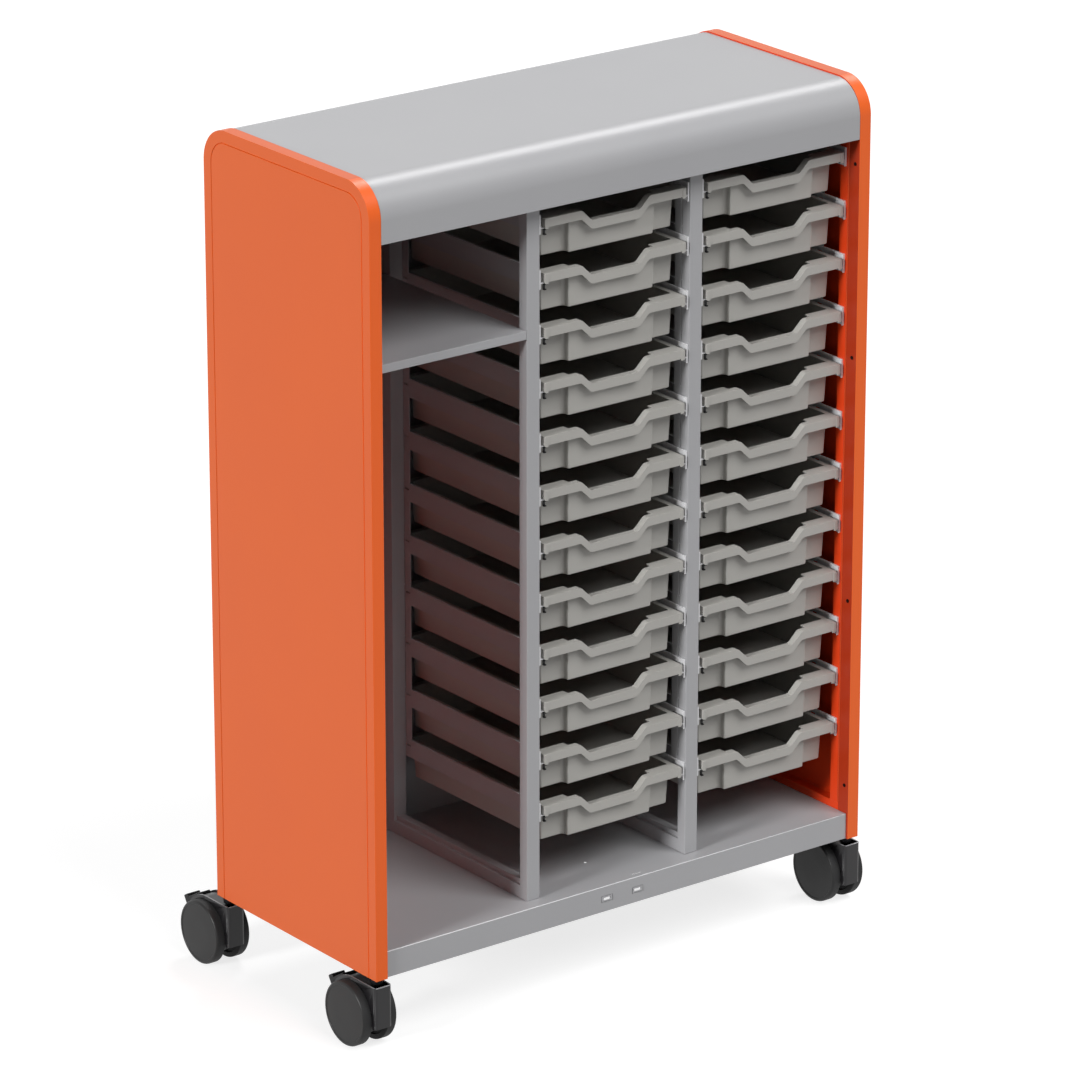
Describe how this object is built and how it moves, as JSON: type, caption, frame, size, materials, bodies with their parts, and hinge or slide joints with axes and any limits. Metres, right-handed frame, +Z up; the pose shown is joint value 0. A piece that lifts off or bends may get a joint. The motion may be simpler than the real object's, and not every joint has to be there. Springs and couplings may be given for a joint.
{
  "type": "teacher wardrobe cabinet",
  "caption": "Mobile storage cabinet on swivel casters: an open wardrobe bay with a shelf, beside columns of pull-out trays on steel runners, between rounded side panels.",
  "frame": {"origin": "on the floor, under the middle of the whole object, casters included", "axes": "+Z up, +X to the right as seen from the front, and the front with the trays faces -Y"},
  "size_m": [1.1484, 0.6072, 1.5943],
  "materials": {
    "orange_powder_coat": "satin powder coat",
    "grey_powder_coat": "fine satin powder coat",
    "tray_plastic": "moulded, fine matt texture",
    "caster_plastic": "moulded, satin",
    "wheel_plastic": "moulded, satin",
    "zinc_plated_steel": "bright zinc plate"
  },
  "bodies": {
    "cabinet": {"side_panel_left": "orange_powder_coat", "side_panel_right": "orange_powder_coat", "top_panel": "grey_powder_coat", "base_deck": "grey_powder_coat", "back_panel": "grey_powder_coat", "wardrobe_shelf": "grey_powder_coat", "divider_middle": "grey_powder_coat", "runners_middle_left": "grey_powder_coat", "runners_middle_right": "grey_powder_coat", "divider_right": "grey_powder_coat", "runners_right_left": "grey_powder_coat", "runners_right_right": "grey_powder_coat", "caster_front_left_stem": "zinc_plated_steel", "caster_front_right_stem": "zinc_plated_steel", "caster_rear_left_stem": "zinc_plated_steel", "caster_rear_right_stem": "zinc_plated_steel"},
    "tray_middle_01": {"tray_middle_01": "tray_plastic"},
    "tray_middle_02": {"tray_middle_02": "tray_plastic"},
    "tray_middle_03": {"tray_middle_03": "tray_plastic"},
    "tray_middle_04": {"tray_middle_04": "tray_plastic"},
    "tray_middle_05": {"tray_middle_05": "tray_plastic"},
    "tray_middle_06": {"tray_middle_06": "tray_plastic"},
    "tray_middle_07": {"tray_middle_07": "tray_plastic"},
    "tray_middle_08": {"tray_middle_08": "tray_plastic"},
    "tray_middle_09": {"tray_middle_09": "tray_plastic"},
    "tray_middle_10": {"tray_middle_10": "tray_plastic"},
    "tray_middle_11": {"tray_middle_11": "tray_plastic"},
    "tray_middle_12": {"tray_middle_12": "tray_plastic"},
    "tray_right_01": {"tray_right_01": "tray_plastic"},
    "tray_right_02": {"tray_right_02": "tray_plastic"},
    "tray_right_03": {"tray_right_03": "tray_plastic"},
    "tray_right_04": {"tray_right_04": "tray_plastic"},
    "tray_right_05": {"tray_right_05": "tray_plastic"},
    "tray_right_06": {"tray_right_06": "tray_plastic"},
    "tray_right_07": {"tray_right_07": "tray_plastic"},
    "tray_right_08": {"tray_right_08": "tray_plastic"},
    "tray_right_09": {"tray_right_09": "tray_plastic"},
    "tray_right_10": {"tray_right_10": "tray_plastic"},
    "tray_right_11": {"tray_right_11": "tray_plastic"},
    "tray_right_12": {"tray_right_12": "tray_plastic"},
    "caster_front_left_swivel": {"caster_front_left_hood": "caster_plastic", "caster_front_left_axle": "zinc_plated_steel"},
    "caster_front_left_wheel_left": {"caster_front_left_wheel_left": "wheel_plastic"},
    "caster_front_left_wheel_right": {"caster_front_left_wheel_right": "wheel_plastic"},
    "caster_front_left_brake": {"caster_front_left_brake_pedal": "caster_plastic"},
    "caster_front_right_swivel": {"caster_front_right_hood": "caster_plastic", "caster_front_right_axle": "zinc_plated_steel"},
    "caster_front_right_wheel_left": {"caster_front_right_wheel_left": "wheel_plastic"},
    "caster_front_right_wheel_right": {"caster_front_right_wheel_right": "wheel_plastic"},
    "caster_front_right_brake": {"caster_front_right_brake_pedal": "caster_plastic"},
    "caster_rear_left_swivel": {"caster_rear_left_hood": "caster_plastic", "caster_rear_left_axle": "zinc_plated_steel"},
    "caster_rear_left_wheel_left": {"caster_rear_left_wheel_left": "wheel_plastic"},
    "caster_rear_left_wheel_right": {"caster_rear_left_wheel_right": "wheel_plastic"},
    "caster_rear_left_brake": {"caster_rear_left_brake_pedal": "caster_plastic"},
    "caster_rear_right_swivel": {"caster_rear_right_hood": "caster_plastic", "caster_rear_right_axle": "zinc_plated_steel"},
    "caster_rear_right_wheel_left": {"caster_rear_right_wheel_left": "wheel_plastic"},
    "caster_rear_right_wheel_right": {"caster_rear_right_wheel_right": "wheel_plastic"},
    "caster_rear_right_brake": {"caster_rear_right_brake_pedal": "caster_plastic"}
  },
  "joints": [
    {"name": "slide_middle_01", "type": "slide", "parent": "cabinet", "child": "tray_middle_01", "axis": [0, -1, 0], "range_m": [0, 0.3]},
    {"name": "slide_middle_02", "type": "slide", "parent": "cabinet", "child": "tray_middle_02", "axis": [0, -1, 0], "range_m": [0, 0.3]},
    {"name": "slide_middle_03", "type": "slide", "parent": "cabinet", "child": "tray_middle_03", "axis": [0, -1, 0], "range_m": [0, 0.3]},
    {"name": "slide_middle_04", "type": "slide", "parent": "cabinet", "child": "tray_middle_04", "axis": [0, -1, 0], "range_m": [0, 0.3]},
    {"name": "slide_middle_05", "type": "slide", "parent": "cabinet", "child": "tray_middle_05", "axis": [0, -1, 0], "range_m": [0, 0.3]},
    {"name": "slide_middle_06", "type": "slide", "parent": "cabinet", "child": "tray_middle_06", "axis": [0, -1, 0], "range_m": [0, 0.3]},
    {"name": "slide_middle_07", "type": "slide", "parent": "cabinet", "child": "tray_middle_07", "axis": [0, -1, 0], "range_m": [0, 0.3]},
    {"name": "slide_middle_08", "type": "slide", "parent": "cabinet", "child": "tray_middle_08", "axis": [0, -1, 0], "range_m": [0, 0.3]},
    {"name": "slide_middle_09", "type": "slide", "parent": "cabinet", "child": "tray_middle_09", "axis": [0, -1, 0], "range_m": [0, 0.3]},
    {"name": "slide_middle_10", "type": "slide", "parent": "cabinet", "child": "tray_middle_10", "axis": [0, -1, 0], "range_m": [0, 0.3]},
    {"name": "slide_middle_11", "type": "slide", "parent": "cabinet", "child": "tray_middle_11", "axis": [0, -1, 0], "range_m": [0, 0.3]},
    {"name": "slide_middle_12", "type": "slide", "parent": "cabinet", "child": "tray_middle_12", "axis": [0, -1, 0], "range_m": [0, 0.3]},
    {"name": "slide_right_01", "type": "slide", "parent": "cabinet", "child": "tray_right_01", "axis": [0, -1, 0], "range_m": [0, 0.3]},
    {"name": "slide_right_02", "type": "slide", "parent": "cabinet", "child": "tray_right_02", "axis": [0, -1, 0], "range_m": [0, 0.3]},
    {"name": "slide_right_03", "type": "slide", "parent": "cabinet", "child": "tray_right_03", "axis": [0, -1, 0], "range_m": [0, 0.3]},
    {"name": "slide_right_04", "type": "slide", "parent": "cabinet", "child": "tray_right_04", "axis": [0, -1, 0], "range_m": [0, 0.3]},
    {"name": "slide_right_05", "type": "slide", "parent": "cabinet", "child": "tray_right_05", "axis": [0, -1, 0], "range_m": [0, 0.3]},
    {"name": "slide_right_06", "type": "slide", "parent": "cabinet", "child": "tray_right_06", "axis": [0, -1, 0], "range_m": [0, 0.3]},
    {"name": "slide_right_07", "type": "slide", "parent": "cabinet", "child": "tray_right_07", "axis": [0, -1, 0], "range_m": [0, 0.3]},
    {"name": "slide_right_08", "type": "slide", "parent": "cabinet", "child": "tray_right_08", "axis": [0, -1, 0], "range_m": [0, 0.3]},
    {"name": "slide_right_09", "type": "slide", "parent": "cabinet", "child": "tray_right_09", "axis": [0, -1, 0], "range_m": [0, 0.3]},
    {"name": "slide_right_10", "type": "slide", "parent": "cabinet", "child": "tray_right_10", "axis": [0, -1, 0], "range_m": [0, 0.3]},
    {"name": "slide_right_11", "type": "slide", "parent": "cabinet", "child": "tray_right_11", "axis": [0, -1, 0], "range_m": [0, 0.3]},
    {"name": "slide_right_12", "type": "slide", "parent": "cabinet", "child": "tray_right_12", "axis": [0, -1, 0], "range_m": [0, 0.3]},
    {"name": "caster_front_left_swivel_turn", "type": "hinge", "parent": "cabinet", "child": "caster_front_left_swivel", "pos_m": [-0.53775, -0.28287, 0.06], "axis": [0, 0, 1], "continuous": true},
    {"name": "caster_front_left_wheel_left_roll", "type": "hinge", "parent": "caster_front_left_swivel", "child": "caster_front_left_wheel_left", "pos_m": [-0.565, -0.23357, 0.06], "axis": [1, 0, 0], "continuous": true},
    {"name": "caster_front_left_wheel_right_roll", "type": "hinge", "parent": "caster_front_left_swivel", "child": "caster_front_left_wheel_right", "pos_m": [-0.5105, -0.23357, 0.06], "axis": [1, 0, 0], "continuous": true},
    {"name": "caster_front_left_brake_press", "type": "hinge", "parent": "caster_front_left_swivel", "child": "caster_front_left_brake", "pos_m": [-0.53775, -0.19722, 0.11389], "axis": [1, 0, 0], "range_deg": [-12, 0]},
    {"name": "caster_front_right_swivel_turn", "type": "hinge", "parent": "cabinet", "child": "caster_front_right_swivel", "pos_m": [0.53775, -0.28287, 0.06], "axis": [0, 0, 1], "continuous": true},
    {"name": "caster_front_right_wheel_left_roll", "type": "hinge", "parent": "caster_front_right_swivel", "child": "caster_front_right_wheel_left", "pos_m": [0.5105, -0.23357, 0.06], "axis": [1, 0, 0], "continuous": true},
    {"name": "caster_front_right_wheel_right_roll", "type": "hinge", "parent": "caster_front_right_swivel", "child": "caster_front_right_wheel_right", "pos_m": [0.565, -0.23357, 0.06], "axis": [1, 0, 0], "continuous": true},
    {"name": "caster_front_right_brake_press", "type": "hinge", "parent": "caster_front_right_swivel", "child": "caster_front_right_brake", "pos_m": [0.53775, -0.19722, 0.11389], "axis": [1, 0, 0], "range_deg": [-12, 0]},
    {"name": "caster_rear_left_swivel_turn", "type": "hinge", "parent": "cabinet", "child": "caster_rear_left_swivel", "pos_m": [-0.53775, 0.17213, 0.06], "axis": [0, 0, 1], "continuous": true},
    {"name": "caster_rear_left_wheel_left_roll", "type": "hinge", "parent": "caster_rear_left_swivel", "child": "caster_rear_left_wheel_left", "pos_m": [-0.565, 0.22143, 0.06], "axis": [1, 0, 0], "continuous": true},
    {"name": "caster_rear_left_wheel_right_roll", "type": "hinge", "parent": "caster_rear_left_swivel", "child": "caster_rear_left_wheel_right", "pos_m": [-0.5105, 0.22143, 0.06], "axis": [1, 0, 0], "continuous": true},
    {"name": "caster_rear_left_brake_press", "type": "hinge", "parent": "caster_rear_left_swivel", "child": "caster_rear_left_brake", "pos_m": [-0.53775, 0.25778, 0.11389], "axis": [1, 0, 0], "range_deg": [-12, 0]},
    {"name": "caster_rear_right_swivel_turn", "type": "hinge", "parent": "cabinet", "child": "caster_rear_right_swivel", "pos_m": [0.53775, 0.17213, 0.06], "axis": [0, 0, 1], "continuous": true},
    {"name": "caster_rear_right_wheel_left_roll", "type": "hinge", "parent": "caster_rear_right_swivel", "child": "caster_rear_right_wheel_left", "pos_m": [0.5105, 0.22143, 0.06], "axis": [1, 0, 0], "continuous": true},
    {"name": "caster_rear_right_wheel_right_roll", "type": "hinge", "parent": "caster_rear_right_swivel", "child": "caster_rear_right_wheel_right", "pos_m": [0.565, 0.22143, 0.06], "axis": [1, 0, 0], "continuous": true},
    {"name": "caster_rear_right_brake_press", "type": "hinge", "parent": "caster_rear_right_swivel", "child": "caster_rear_right_brake", "pos_m": [0.53775, 0.25778, 0.11389], "axis": [1, 0, 0], "range_deg": [-12, 0]}
  ]
}
